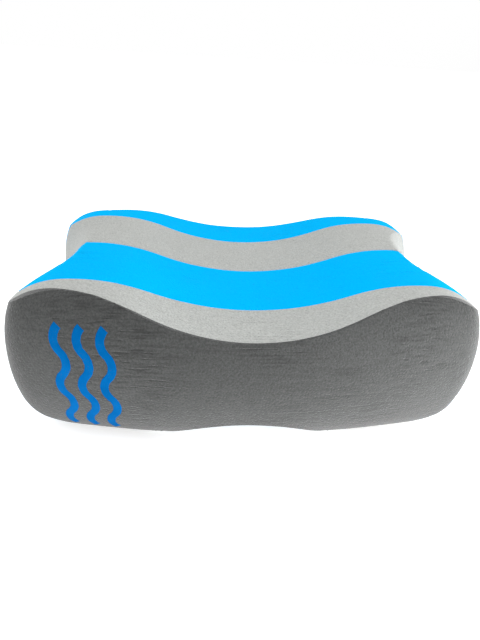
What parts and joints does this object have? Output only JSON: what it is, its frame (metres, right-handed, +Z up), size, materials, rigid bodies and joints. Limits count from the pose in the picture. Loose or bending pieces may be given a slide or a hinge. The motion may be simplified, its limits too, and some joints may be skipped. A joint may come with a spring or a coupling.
{
  "type": "pull buoy",
  "caption": "Laminated foam pull buoy with two round lobes and a narrow waist, held between a swimmer's thighs to float the legs.",
  "frame": {"origin": "on the surface that the buoy stands on, under the middle of the block", "axes": "+X from lobe to lobe towards the unprinted lobe, +Y from the dark capped front to the blue back, +Z up"},
  "size_m": [0.237, 0.1564, 0.0808],
  "materials": {
    "dark_grey_foam": "matte closed-cell foam, fine grain",
    "light_grey_foam": "matte closed-cell foam, fine grain",
    "blue_foam": "matte closed-cell foam, fine grain",
    "blue_ink": "screen-printed ink, satin"
  },
  "bodies": {
    "root": {"dark_front_cap": "dark_grey_foam", "light_grey_front_layer": "light_grey_foam", "blue_front_layer": "blue_foam", "light_grey_rear_layer": "light_grey_foam", "blue_rear_layer": "blue_foam", "printed_wave_mark": "blue_ink"}
  },
  "joints": []
}
